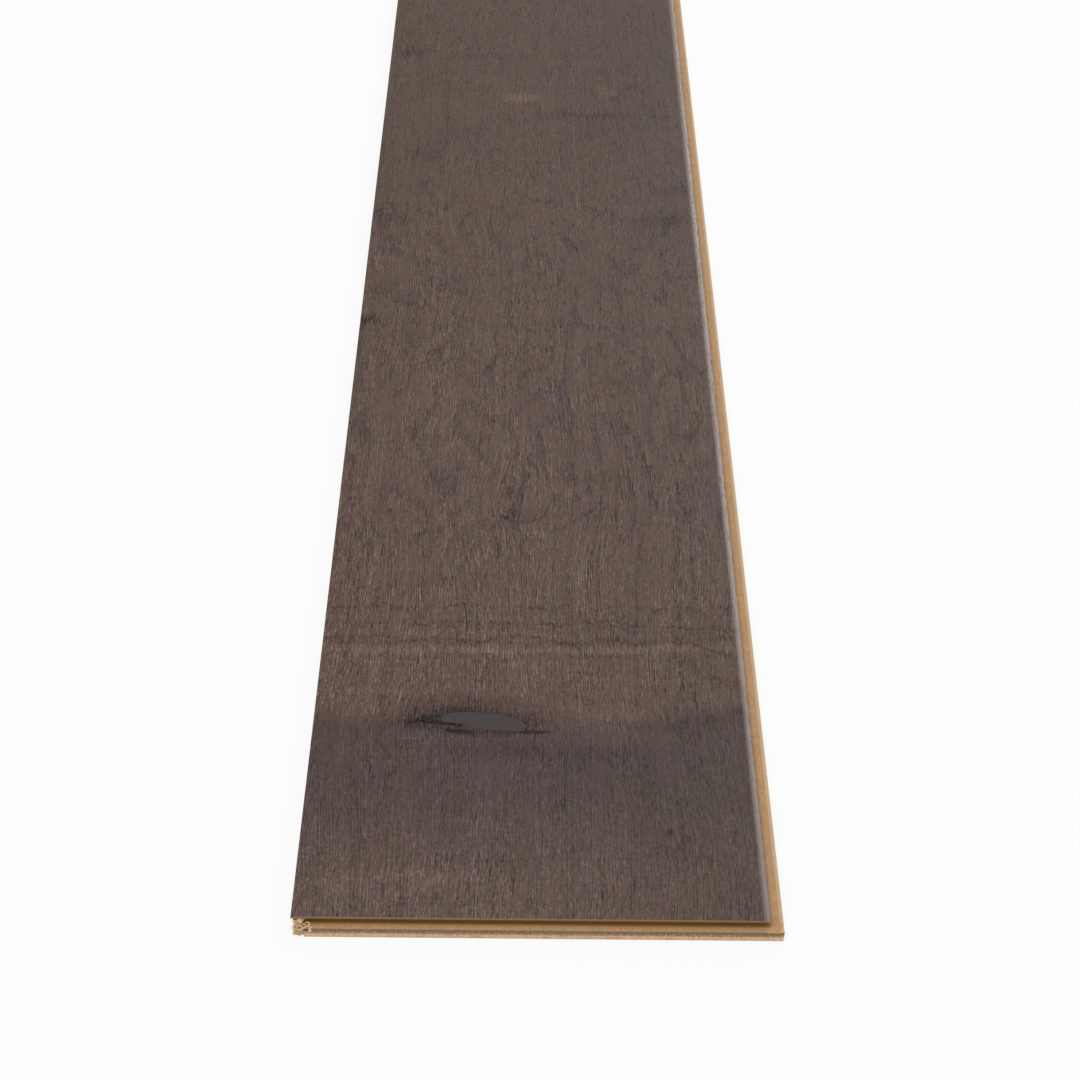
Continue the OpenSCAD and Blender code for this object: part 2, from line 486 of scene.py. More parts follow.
# %% Rings
from_x = bench.math("DIVIDE", bench.plus(x, -KNOT_AT[0]), RING_SPREAD)
from_y = bench.plus(step_y, -KNOT_AT[1])
from_x2 = bench.times(from_x, from_x)
from_y2 = bench.times(from_y, from_y)
arch = bench.math("POWER", bench.plus(
    bench.times(from_x2, from_x2), bench.times(from_y2, from_y2)), 0.25)
arch = bench.plus(arch, bench.swing(bench.stretched(place, (0.045, 0.03, 0.0), 2.0), 17.0))
line = 0.0
for distance, thickness, strength in RINGS.values():
    ring = bench.group(ring_tree, {"Distance": arch, "At": distance, "Thickness": thickness})
    line = bench.plus(line, bench.times(ring["Line"], strength))
broken = bench.ramp(bench.stretched(place, (0.06, 0.08, 5.0), 1.0), 0.32, 0.55)
above = bench.ramp(from_y, -30.0, 10.0, 0.12, 1.0)
smile = bench.times(bench.group(ring_tree, {
    "Distance": bench.plus(step_y, bench.times(from_x, from_x, -0.02)),
    "At": 34.0, "Thickness": 1.8})["Line"], spot(bench, place, (0, 38), (46, 20)), 0.5)
line = bench.plus(bench.times(line, above, bench.plus(bench.times(broken, 0.7), 0.3)), smile)
print(len(RINGS), "rings and the smile")

# %% Fine threads of growth at two places beside the knot
threads = bench.group(rings_tree, {
    "Place": flowing, "Distance": arch, "Spacing": 3.6, "Jag": 0.25, "Sharpness": 4.0, "Seed": 5.0})
in_threads = bench.plus(spot(bench, place, (82, 167), (22, 24)),
                        spot(bench, place, (34, 138), (20, 17)))
print("threads every 3.6 mm")

# %% [markdown]
# ## Long loops further up
# Where the peeling knife runs almost level with a growth ring, the ring opens into a long loop.
# A broad noise is our hill, and its height lines are the loops. Each one darkens slowly and
# ends in a ragged pale step.

# %% Loops
hill = bench.stretched(stepped, (0.019, 0.0085, 0.0), 1.5, 0.45)
ring_phase = bench.math(
    "FRACT", bench.plus(bench.times(hill, 11.0), bench.times(step_y, 0.006)))
in_loops = bench.plus(
    bench.times(bench.ramp(y, 215.0, 290.0), bench.ramp(y, 560.0, 800.0, 1.0, 0.4)),
    bench.ramp(y, 18.0, 40.0, 0.6, 0.0))
patch = bench.times(bench.ramp(ring_phase, 0.6, 0.98), in_loops)
edge = bench.times(bench.ramp(ring_phase, 0.0, 0.07, 1.0, 0.0), in_loops)
print("loops ready")

# %% [markdown]
# ## Fibres and pores
# Up close the face is a bed of fibres: long threads the whole way, short bristles, and finer
# hairs between them. The stain gathers in the pores as short dark dashes, thick on the rings
# and in cloudy patches, thin elsewhere, and painted glints lighten a few pale fibres.

# %% Fibres
thread = bristles(bench, flowing, 0.6, 130.0, 5.0)["Value"]
bristle = bristles(bench, flowing, 0.60, 6.5, 1.0, 1.0)["Value"]
long_bristle = bristles(bench, flowing, 0.66, 21.0, 13.0, 2.0)["Value"]
bristle = bench.plus(bench.times(bristle, bench.ramp(y, 90.0, 260.0, 0.85, 0.5)),
                     bench.times(long_bristle, bench.ramp(y, 90.0, 260.0, 0.15, 0.5)))
hair = fibre(bench, flowing, 0.9, 1.8, 2.0, 0.0)
streak = fibre(bench, flowing, 2.2, 26.0, 9.0, 1.0)
broad = fibre(bench, flowing, 9.0, 110.0, 9.0, 1.0)
print("fibres ready")

# %% Pores and glints
cloud = bench.stretched(flowing, (0.07, 0.022, 3.0), 2.0, 0.6)
crowd = bench.plus(bench.times(line, 0.17), bench.times(patch, 0.05),
                   bench.times(bench.ramp(cloud, 0.48, 0.66), 0.035))
dash = bristles(bench, flowing, 0.6, 3.0, 21.0, 0.5)["Value"]
long_dash = bristles(bench, flowing, 0.65, 12.0, 33.0, 1.0)["Value"]
pores = bench.math(
    "MAXIMUM",
    bench.ramp(bench.plus(dash, crowd), 0.62, 0.78),
    bench.ramp(bench.plus(long_dash, crowd), 0.62, 0.78))
# Painted glints: a few pale bristles and sparse specks lighten the tone, for the lacquer's glints.
glint = bench.ramp(bristles(bench, flowing, 0.55, 5.0, 47.0, 0.5)["Value"], 0.60, 0.76)
speck = bench.ramp(fibre(bench, flowing, 0.45, 1.0, 53.0), 0.80, 0.86)
print("pores and glints ready")

# %% [markdown]
# ## Broad tone
# The board is darker from its near end to the knot, with a wavering upper edge that dips in the
# middle and climbs at the right. Further up the strength of the fibres changes slowly, and painted
# shade darkens the far end and the right side against the lamps' sheen. All layers are then added
# up to one tone, which is 1 for the plain base brown.

# %% The dark zone, and slow changes along the board
dip = bench.times(spot(bench, place, (18, 110), (52, 200), 0.0, 1.0), -7.0)
brink = bench.plus(131.0, dip, bench.ramp(x, 50.0, 95.0, 0.0, 13.0))
under = bench.math("SUBTRACT", brink, bench.plus(
    step_y, bench.swing(bench.stretched(place, (0.04, 0.03, 0.0), 2.0), 20.0)))
dark_zone = bench.times(bench.ramp(y, 2.0, 96.0), bench.ramp(under, -7.0, 9.0))
mottle = bench.stretched(place, (0.03, 0.02, 0.0), 2.0, 0.5)
ember = bench.stretched(flowing, (0.16, 0.035, 0.0), 2.0, 0.65)
uneven_life = bench.ramp(
    bench.stretched(flowing, (0.05, 0.014, 9.0), 1.0), 0.35, 0.65, 0.72, 1.3)
lively = bench.times(uneven_life, bench.plus(
    bench.ramp(y, 30.0, 75.0, 0.8, 0.85), bench.ramp(y, 130.0, 165.0, 0.0, 0.3),
    bench.ramp(y, 270.0, 420.0, 0.0, -0.1), bench.ramp(y, 500.0, 800.0, 0.0, -0.12)))
print("dark zone up to about 131 mm")

# %% The sum of the layers
tone = bench.plus(
    1.0,
    bench.swing(thread, 0.75),
    bench.times(bench.swing(bristle, 1.6), lively),
    bench.times(bench.swing(hair, 0.7), bench.ramp(y, 60.0, 400.0, 1.0, 0.5)),
    bench.swing(streak, 0.16),
    bench.swing(broad, 0.20),
    bench.swing(mottle, 0.13),
    # Painted glints, from the glint and speck masks
    bench.times(glint, 0.34),
    bench.times(speck, 0.6),
    bench.times(line, -0.17),
    bench.times(edge, 0.22),
    bench.times(threads["Line"], in_threads, -0.40),
    bench.times(threads["Phase"], in_threads, 0.16),
    bench.times(patch, -0.18),
    bench.times(pores, -0.30, lively),
)
# The base stain, and painted shade: darker towards the far end and the right, to even out the lamp
# panel's sheen there.
stain_and_painted_shade = bench.plus(
    bench.ramp(y, 150.0, 950.0, 0.79, 0.62), bench.ramp(x, -30.0, 90.0, 0.012, -0.085))
tone = bench.times(tone, stain_and_painted_shade, bench.plus(1.0, bench.times(dark_zone, -0.29)))
print("tone:", len(figure_tree.nodes), "nodes so far")

# %% [markdown]
# ## What only this board has
# A small eye sits above the knot: a dark curve cups it from below, and a flat lilac shade lies
# in the cup. The other marks are soft spots from the two lists. Each one moves the tone, and
# the reddish ones also move a second value, which later warms the brown.

# %% The eye
near_eye = bench.vector("ADD", place, bench.vector("MULTIPLY", sway, (0.12, 0.25, 0.0)))
eye = bench.vector("SUBTRACT", near_eye, (*EYE_AT, 0.0))
eye_x, eye_y, eye_z = bench.parts(bench.vector("DIVIDE", eye, (*EYE_REACH, 1.0)))
eye_r = bench.vector("LENGTH", bench.point(eye_x, eye_y))
off_curve = bench.math("ABSOLUTE", bench.plus(eye_r, -1.0))
cup = bench.times(bench.ramp(off_curve, 0.0, 0.13, 1.0, 0.0),
                  bench.ramp(eye_y, -0.2, 0.5, 1.0, 0.15))
in_cup = spot(bench, near_eye, (-6, 295), (15, 9), -4, 0.8)
tone = bench.plus(tone, bench.times(cup, -0.26), bench.times(in_cup, -0.13))
red = bench.plus(bench.ramp(ember, 0.35, 0.68), in_cup)
print("eye at", EYE_AT)

# %% The marks
for marks, sign in ((MARKS, -1.0), (PALE_MARKS, 1.0)):
    for across, along, wide, long, turn, strength, redness in marks.values():
        small = min(wide, long) < 1.0
        mask = spot(bench, place if small else swayed, (across, along), (wide, long), turn)
        tone = bench.math("MULTIPLY_ADD", mask, sign * strength, tone)
        if redness:
            red = bench.math("MULTIPLY_ADD", mask, redness, red)
print(len(MARKS) + len(PALE_MARKS), "marks placed")

# %% The knot's own stain: a thin dark rim, the two slits under it, and orange resin
near_knot = bench.vector("ADD", place, bench.vector("MULTIPLY", sway, (0.10, 0.16, 0.0)))
rim = spot(bench, near_knot, (-24.5, 128.6), (38, 13.0), -4, 0.42)
tail = spot(bench, near_knot, (0.5, 121.2), (10, 1.7), 4, 0.5)
slit = spot(bench, near_knot, (-32.0, 121.4), (8.5, 2.1), -7, 0.4)
resin = bench.plus(spot(bench, near_knot, (-18, 119.6), (7, 1.2), 0, 0.9),
                   spot(bench, near_knot, (-8, 134.8), (5, 1.2), -20, 0.9))
darkest = bench.math("MAXIMUM", bench.times(rim, 0.30), bench.math(
    "MAXIMUM", bench.times(tail, 0.6), bench.times(slit, 0.6)))
tone = bench.plus(tone, bench.times(darkest, -1.0))
red = bench.plus(red, rim, bench.times(resin, 1.2))
print("knot stained")

# %% [markdown]
# ## From tone to colour
# The stain is not one brown. It is warmer on some fibres, purple in the dark zone and on the
# loops, greyer at the near end, and olive where a fibre stays pale. We choose a brown first and
# then multiply it by the tone, with a little more or less green and blue along the board.

# %% Colour, roughness and height of the figure
cool = bench.plus(bench.times(patch, 0.4), bench.times(dark_zone, 0.5),
                  bench.times(bench.swing(broad, 1.0), 0.8))
cool = bench.math("MAXIMUM", bench.math("MINIMUM", cool, 1.0), 0.0)
brown = bench.tint(bench.math("MINIMUM", red, 1.0), shade(99, 81, 68), shade(103, 78, 71))
brown = bench.tint(cool, brown, shade(97, 78, 77))
orange = bench.math("MINIMUM", bench.times(resin, 0.4), 1.0)
brown = bench.tint(orange, brown, shade(140, 84, 60))
tone = bench.math("MAXIMUM", tone, 0.12)
greyer = bench.ramp(y, 95.0, 140.0, 1.0, 0.0)
green = bench.plus(1.0, bench.times(greyer, 0.07))
# Painted shade in the hue: less blue towards the far end and the right, to offset the bluish sheen
# there.
blue = bench.plus(bench.ramp(y, 150.0, 800.0, 1.0, 0.92), bench.ramp(x, 0.0, 90.0, 0.0, -0.04),
                  bench.times(greyer, 0.10))
channels = bench.point(tone, bench.times(tone, green), bench.times(tone, blue))
colour = bench.tint(1.0, brown, channels, "MULTIPLY")
colour = bench.tint(bench.ramp(tone, 0.85, 1.4, 0.0, 0.6), colour, shade(128, 114, 92))
bench.plug(gives["Colour"], colour)
bench.plug(gives["Roughness"], bench.plus(
    0.46, bench.times(pores, 0.16), bench.swing(bristle, 0.2)))
bench.plug(gives["Height"], bench.plus(
    bench.times(bristle, 0.8), bench.times(hair, 0.25), bench.times(thread, 0.4)))
print("veneer figure:", len(figure_tree.nodes), "nodes")

# %% [markdown]
# ## Putting the finishes on
# Each material starts from the board's own coordinates turned into millimetres on the face's
# ruler, so a pattern stays in its place whatever piece it crosses. Cut edges show bare wood: we
# tell them from the face by the direction that the surface looks in.


# %% A material that starts on the face's ruler
def new_finish(name):
    """A material with its Principled shader, a bench and the place on the ruler."""
    finish = bpy.data.materials.new(name)
    finish.use_nodes = True
    bench = Bench(finish.node_tree)
    shader = finish.node_tree.nodes["Principled BSDF"]
    source = bench.add("ShaderNodeTexCoord").outputs
    place = bench.add("ShaderNodeMapping", {
        "Vector": source["Object"],
        "Location": [-c / MM for c in face_origin],
        "Scale": [1 / MM] * 3,
    }).outputs["Vector"]
    looks = bench.parts(source["Normal"])
    return finish, bench, shader, place, looks


def relief(bench, shader, height, depth_mm):
    """A bump of the given depth in millimetres."""
    bump = bench.add("ShaderNodeBump", {"Height": height, "Distance": depth_mm * MM, "Strength": 1.0})
    bench.plug(shader.inputs["Normal"], bump.outputs["Normal"])


def wear(node, finish):
    """Put a finish on a solid, in its material slot."""
    nodes[node].data.materials.clear()
    nodes[node].data.materials.append(finish)
    print("finish:", finish.name, "on", node)


print("finishes start at", tuple(round(c, 4) for c in face_origin))

# %% [markdown]
# ## The veneer's finish
# A thin stain under a low-sheen lacquer: the figure gives the colour of the face, and where the
# veneer is cut we see bare wood. The roller rubs the long edges smooth. Along the right edge a
# painted sheen, lilac and pale, stands in for the gleam of the lamp panel on the rolled edge.

# %% Stained veneer
VENEER_SHEEN = 0.15
VENEER_RELIEF = 0.10
veneer, bench, shader, place, looks = new_finish("Stained veneer")
figure = bench.group(figure_tree, {"Place": place})
flat = bench.ramp(looks[2], 0.4, 0.6)
cut_fibre = fibre(bench, place, 0.5, 1.2, 60.0, 2.0)
cut = bench.tint(cut_fibre, shade(132, 106, 78), shade(178, 150, 116))
x, y, z = bench.parts(place)
rolled = bench.ramp(bench.math("ABSOLUTE", x), face_half - 3.0, face_half - 1.6)
# Painted sheen: on the right rolled edge the colour turns lilac and pale, as the panel's gleam; the
# band is wider and dimmer towards the far end.
start = bench.ramp(y, 0.0, 900.0, face_half - 3.3, face_half - 4.6)
painted_sheen = bench.math("DIVIDE", bench.math("SUBTRACT", x, start), 2.6)
painted_sheen = bench.times(
    bench.ramp(painted_sheen, 0.0, 1.0), bench.ramp(x, face_half - 0.5, face_half, 1.0, 0.3))
painted_sheen_colour = bench.tint(bench.ramp(y, 0.0, 700.0), shade(134, 117, 111), shade(114, 98, 90))
face_colour = bench.tint(bench.times(painted_sheen, 0.85), figure["Colour"], painted_sheen_colour)
bench.plug(shader.inputs["Base Color"], bench.tint(flat, cut, face_colour))
bench.plug(shader.inputs["Roughness"], bench.plus(figure["Roughness"], bench.times(rolled, -0.10)))
shader.inputs["Specular IOR Level"].default_value = VENEER_SHEEN
smoothed = bench.plus(1.0, bench.times(rolled, -0.6))
relief(bench, shader, bench.times(figure["Height"], smoothed), VENEER_RELIEF)
wear("wear_layer", veneer)

# %% [markdown]
# ## The fibreboard's finish
# Fibreboard is ground wood pressed with glue: tan, with darker and paler flecks at three sizes
# of noise. It is greyer where a saw cut it upright. On the crest's slope and along the lip's
# outer edge it is painted paler as painted light, and in the groove it is painted darker as
# painted shade. We choose between these by the place on the ruler and by the direction that the
# surface looks in.

# %% Fibreboard: the tan of its level and milled faces
board_finish, bench, shader, place, looks = new_finish("Fibreboard")
x, y, z = bench.parts(place)
speck = bench.stretched(place, (1.3, 0.9, 1.3), 3.0, 0.65)
cloud = bench.stretched(place, (0.30, 0.16, 0.30), 3.0, 0.6)
dust = bench.stretched(place, (4.0, 2.6, 4.0), 2.0, 0.6)
tan = bench.tint(bench.ramp(cloud, 0.35, 0.68), shade(170, 136, 96), shade(186, 143, 104))
tan = bench.tint(bench.times(bench.ramp(speck, 0.52, 0.72), 0.8), tan, shade(140, 98, 62))
tan = bench.tint(bench.times(bench.ramp(dust, 0.54, 0.72), 0.75), tan, shade(222, 192, 154))
# Painted light and shade: the crest's inner slope is painted paler to lift its shading, and the
# groove under the nose is painted darker as its shade
painted_light_slope = bench.times(bench.ramp(looks[0], -0.2, -0.6), bench.ramp(looks[2], 0.2, 0.5))
tan = bench.tint(bench.times(painted_light_slope, 0.75), tan, shade(236, 206, 168))
painted_groove_shade = bench.times(bench.ramp(y, -1.3, 0.1), bench.ramp(y, 2.6, 4.0, 1.0, 0.0),
                   bench.ramp(x, face_half - 1.0, face_half + 0.6, 1.0, 0.0))
# Painted highlight: the lip's outer edge is painted paler, as the light that it catches from the
# right
painted_edge_light = bench.plus(x, bench.swing(speck, 1.4))
tan = bench.tint(bench.ramp(painted_edge_light, face_half + side_reach - 1.5, face_half + side_reach, 0.0, 0.7),
                 tan, shade(214, 190, 158))
print("tan ready")

# %% Fibreboard: the upright sawn faces
upright = bench.ramp(bench.math("ABSOLUTE", looks[2]), 0.3, 0.75, 1.0, 0.0)
sawn = bench.tint(bench.ramp(speck, 0.4, 0.7), shade(146, 124, 96), shade(116, 94, 70))
# Fibres of the backing are dragged up over the sawn edge
height = bench.plus(z, board_t - backing_t)
dragged = fibre(bench, bench.point(x, bench.plus(y, z), 0.0), 0.55, 3.0, 80.0)
smear = bench.ramp(bench.plus(dragged, bench.times(height, -0.42)), 0.36, 0.52)
sawn = bench.tint(bench.times(smear, 0.8), sawn, shade(216, 182, 146))
# At the torn end of the lip the front is pale and split, with a painted shadow for a dark gap beside
# the wad
front = bench.point(x, bench.plus(height, backing_t))
torn_end = -face_half + side_reach
torn = bench.ramp(bench.plus(x, bench.swing(speck, 2.4)), torn_end + 1.2, torn_end + 3.2, 1.0, 0.0)
sawn = bench.tint(bench.times(torn, 0.75), sawn, shade(226, 194, 150))
# First a painted shadow, where a hole in the torn lip would be dark, then a pale strand
for centre, reach, turn, shown, colour in (
        ((torn_end + 1.0, 3.7), (1.5, 1.1), 0.0, 0.9, shade(88, 62, 34)),
        ((torn_end + 2.6, 3.2), (0.6, 2.2), -8.0, 0.9, shade(244, 220, 176))):
    mask = spot(bench, front, centre, reach, turn, 0.5)
    sawn = bench.tint(bench.times(mask, shown), sawn, colour)
print("sawn face ready")

# %% Fibreboard: both put together
solid = bench.tint(upright, tan, sawn)
# Painted shade: the groove under the nose is darkened
with_groove_shade = bench.tint(bench.times(painted_groove_shade, 0.85), solid, shade(152, 112, 62))
bench.plug(shader.inputs["Base Color"], with_groove_shade)
shader.inputs["Roughness"].default_value = 0.85
shader.inputs["Specular IOR Level"].default_value = 0.2
relief(bench, shader, bench.plus(speck, bench.times(dust, 0.5)), 0.20)
wear("core_board", board_finish)

# %% [markdown]
# ## The backing's finish
# The bottom layer is bare pale softwood with long fibres and broad darker bands. Its sawn edge
# is chipped, and glue and dust of the core darken the top of it.

# %% Backing veneer: pale softwood, fibres along the board, ragged where it was cut
backing_finish, bench, shader, place, looks = new_finish("Backing veneer")
grain = fibre(bench, place, 0.7, 45.0, 71.0, 3.0)
bands = fibre(bench, place, 5.0, 300.0, 77.0, 2.0)
pale = bench.tint(bench.ramp(grain, 0.3, 0.7), shade(216, 177, 140), shade(234, 201, 166))
pale = bench.tint(bench.times(bench.ramp(bands, 0.52, 0.66), 0.5), pale, shade(182, 140, 104))
x, y, z = bench.parts(place)
chips = bench.noise(
    bench.point(bench.times(x, 1.3), bench.times(y, 1.3), bench.times(z, 0.35)), 3.0)
pale = bench.tint(bench.times(bench.ramp(chips, 0.5, 0.72), 0.5), pale, shade(190, 150, 116))
upright = bench.ramp(bench.math("ABSOLUTE", looks[2]), 0.3, 0.75, 1.0, 0.0)
glued = bench.ramp(bench.plus(z, bench.swing(chips, 0.9)), backing_t - board_t - 0.6,
                   backing_t - board_t - 0.25)
pale = bench.tint(bench.times(glued, upright, 0.85), pale, shade(132, 108, 82))
bench.plug(shader.inputs["Base Color"], pale)
shader.inputs["Roughness"].default_value = 0.75
shader.inputs["Specular IOR Level"].default_value = 0.25
relief(bench, shader, bench.plus(grain, chips), 0.15)
wear("backing_layer", backing_finish)

# %% [markdown]
# ## The filled knot
# Dark putty was pressed into the knot hole and planed with the face. It shrank a little, so a
# fine crack runs round it, and at the left end it never filled the old bark pocket, which is
# still black and full of holes. The solid for the putty is a plain lens: we fill its outline
# with a fine net of points and press the real relief into them.

# %% Outlines in the knot, on the face's ruler
PUTTY = [(-39.6, 131.0), (-36.5, 134.4), (-30.0, 135.4), (-21.0, 135.2), (-12.0, 133.2),
         (-5.5, 129.8), (-2.3, 125.4), (-5.0, 121.8), (-14.0, 122.2), (-24.0, 122.9),
         (-29.6, 125.4), (-36.0, 127.3), (-39.4, 128.4)]
CRACK = [(-47.0, 128.4), (-36.4, 127.8), (-31.0, 127.0), (-29.2, 125.8), (-32.0, 125.2),
         (-40.0, 126.2), (-47.0, 127.2)]
BARK = [(-54.2, 127.2), (-51.5, 130.4), (-46.0, 132.5), (-40.5, 133.6), (-38.4, 133.0),
        (-39.6, 130.6), (-39.2, 128.2), (-45.0, 127.4), (-51.0, 125.8)]
SLIT = [(-39.8, 123.2), (-35.4, 122.9), (-25.0, 121.8), (-27.6, 120.3), (-32.0, 119.4),
        (-36.0, 120.0), (-38.6, 121.5)]
TAIL = [(-4.8, 121.9), (3.0, 123.0), (8.6, 122.0), (4.0, 120.2), (-4.0, 119.5), (-9.4, 120.3)]


def rounded(outline, steps=5):
    """A closed outline through the points, with its corners eased by a smooth curve."""
    points = numpy.array(outline, dtype=float)
    before, after, beyond = (numpy.roll(points, k, axis=0) for k in (1, -1, -2))
    rounds = []
    for share in numpy.arange(steps) / steps:
        rounds.append(0.5 * (
            2 * points + (after - before) * share
            + (2 * before - 5 * points + 4 * after - beyond) * share ** 2
            + (3 * points - before - 3 * after + beyond) * share ** 3))
    return numpy.stack(rounds, axis=1).reshape(-1, 2)


def depth_inside(spots, outline):
    """How far each spot lies inside an outline, negative outside, in millimetres."""
    starts = rounded(outline)
    sides = numpy.roll(starts, -1, axis=0) - starts
    away = spots[:, None, :] - starts[None]
    share = numpy.clip((away * sides).sum(-1) / (sides ** 2).sum(-1), 0, 1)
    nearest = numpy.linalg.norm(away - share[..., None] * sides, axis=-1).min(axis=1)
    ends = starts + sides
    above = (starts[None, :, 1] > spots[:, None, 1]) != (ends[None, :, 1] > spots[:, None, 1])
    with numpy.errstate(divide="ignore", invalid="ignore"):
        cross = starts[None, :, 0] + sides[None, :, 0] * (
            spots[:, None, 1] - starts[None, :, 1]) / sides[None, :, 1]
    crossings = (above & (spots[:, None, 0] < cross)).sum(axis=1)
    return numpy.where(crossings % 2 == 1, nearest, -nearest)


print("outlines:", len(PUTTY), len(CRACK), len(BARK), len(SLIT), len(TAIL), "points")


# %% Relief of the knot
def smooth_step(value, start, end):
    share = numpy.clip((value - start) / (end - start), 0, 1)
    return share * share * (3 - 2 * share)


def rough_noise(spots, scale, seed):
    return numpy.array([noise.noise((a * scale, b * scale, seed)) for a, b in spots])


def knot_relief(spots):
    """Depths under the face in millimetres, and how much of each spot is putty or black bark."""
    ragged = 0.35 * rough_noise(spots, 0.9, 4.0)
    in_putty = depth_inside(spots, PUTTY)
    in_crack = depth_inside(spots, CRACK) + ragged
    in_bark = depth_inside(spots, BARK) + ragged
    in_slit = depth_inside(spots, SLIT) + 0.5 * ragged
    in_tail = depth_inside(spots, TAIL) + 0.5 * ragged
    putty = smooth_step(in_putty, -0.10, 0.15) * (1 - smooth_step(in_crack, -0.1, 0.2))
    seam = numpy.exp(-(in_putty / 0.22) ** 2)
    crumbs = rough_noise(spots, 0.75, 9.0) + 0.5 * rough_noise(spots, 1.7, 12.0)
    pits = smooth_step(in_bark, 0.0, 0.8) * smooth_step(crumbs, -0.25, 0.15)
    depth = (0.03 * putty + 0.16 * seam + 0.40 * smooth_step(in_crack, 0.0, 0.45)
             + 0.42 * pits + 0.05 * smooth_step(in_bark, 0.0, 0.6)
             + 0.22 * smooth_step(in_slit, 0.0, 0.8) + 0.22 * smooth_step(in_tail, 0.0, 0.8))
    black = numpy.maximum.reduce([
        smooth_step(in_crack, -0.05, 0.3), smooth_step(in_bark, -0.2, 0.5) * (0.55 + 0.45 * pits),
        0.75 * seam, 0.5 * smooth_step(in_slit, 0.0, 1.0), 0.45 * smooth_step(in_tail, 0.0, 1.0)])
    return numpy.clip(depth, 0, 0.5), putty, numpy.clip(black, 0, 1)


middle_depth = knot_relief(numpy.array([[-20.0, 129.0]]))[0][0]
print("relief at the middle of the putty: %.2f mm" % middle_depth)


# %% The knot's mesh: the solid's own outline, filled with a fine net
def top_outline(node):
    """The corners of a solid's top face in order round it, on the face's ruler."""
    copy = bmesh.new()
    copy.from_mesh(nodes[node].data)
    bmesh.ops.remove_doubles(copy, verts=copy.verts, dist=1e-6)
    top = max(v.co.z for v in copy.verts)
    sides = [f for f in copy.faces if abs(f.normal.z) < 0.5]
    rim = [e for f in sides for e in f.edges if all(abs(v.co.z - top) < 1e-6 for v in e.verts)]
    follows = {}
    for edge in rim:
        for this, other in (edge.verts, reversed(edge.verts)):
            follows.setdefault(this, []).append(other)
    corner = rim[0].verts[0]
    loop, came = [corner], None
    while True:
        step = next(v for v in follows[loop[-1]] if v is not came)
        came = loop[-1]
        if step is loop[0]:
            break
        loop.append(step)
    outline = [(v.co - face_origin) / MM for v in loop]
    copy.free()
    return [(p.x, p.y) for p in outline]


KNOT_NET = 0.30
knot_rim = top_outline("knot_filler")
low_x, high_x = min(p[0] for p in knot_rim), max(p[0] for p in knot_rim)
low_y, high_y = min(p[1] for p in knot_rim), max(p[1] for p in knot_rim)
net = [(low_x + KNOT_NET * (i + 0.5 * (j % 2)), low_y + KNOT_NET * j)
       for j in range(int((high_y - low_y) / KNOT_NET) + 1)
       for i in range(int((high_x - low_x) / KNOT_NET) + 1)]
rim_array = numpy.array(knot_rim)
net = numpy.array(net)
starts, sides = rim_array, numpy.roll(rim_array, -1, axis=0) - rim_array
turn = numpy.sign(sum(starts[:, 0] * numpy.roll(starts, -1, axis=0)[:, 1]
                      - starts[:, 1] * numpy.roll(starts, -1, axis=0)[:, 0]))
inward = numpy.stack([-sides[:, 1], sides[:, 0]], 1) * turn
inward /= numpy.linalg.norm(inward, axis=1)[:, None]
room = ((net[:, None] - starts[None]) * inward[None]).sum(-1).min(axis=1)
inner = net[room > 0.6 * KNOT_NET]
flat_points = [Vector(p) for p in knot_rim] + [Vector(p) for p in inner]
rim_edges = [(i, (i + 1) % len(knot_rim)) for i in range(len(knot_rim))]
filled, _, triangles, _, _, _ = geometry.delaunay_2d_cdt(flat_points, rim_edges, [], 1, 1e-5)
print("knot rim:", len(knot_rim), "corners; net:", len(inner), "points;", len(triangles), "triangles")

# %% Press the relief in and close the piece underneath
spots = numpy.array([(p.x, p.y) for p in filled])
depth, putty_share, black_share = knot_relief(spots)
from_rim = ((spots[:, None] - starts[None]) * inward[None]).sum(-1).min(axis=1)
depth *= smooth_step(from_rim, 0.0, 0.5)
knot_floor = (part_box("knot_filler")[0].z - face_origin.z) / MM
knot_mesh = bmesh.new()
tops = [knot_mesh.verts.new(on_board(a, b, -d)) for (a, b), d in zip(spots, depth)]
bottoms = [knot_mesh.verts.new(on_board(a, b, knot_floor)) for a, b in knot_rim]
for triangle in triangles:
    knot_mesh.faces.new([tops[i] for i in triangle])
for i, j in rim_edges:
    knot_mesh.faces.new([tops[i], tops[j], bottoms[j], bottoms[i]])
knot_mesh.faces.new(bottoms)
bmesh.ops.recalc_face_normals(knot_mesh, faces=knot_mesh.faces)
mesh = bpy.data.meshes.new("knot_in_face")
knot_mesh.to_mesh(mesh)
knot_mesh.free()
for name, values in (("putty", putty_share), ("black", black_share)):
    stored = mesh.attributes.new(name, "FLOAT", "POINT")
    stored.data.foreach_set("value", list(values) + [0.0] * len(bottoms))
knot = bpy.data.objects.new("knot_in_face", mesh)
bpy.context.scene.collection.objects.link(knot)
print("knot piece:", len(mesh.vertices), "points")

# %% [markdown]
# ## The knot's finish
# Round the putty the piece is plain veneer, so it uses the same figure, and nobody sees where
# the solid's lens ends. Two values stored on the mesh say where the smooth grey putty and the
# black crumbling bark are laid over it.

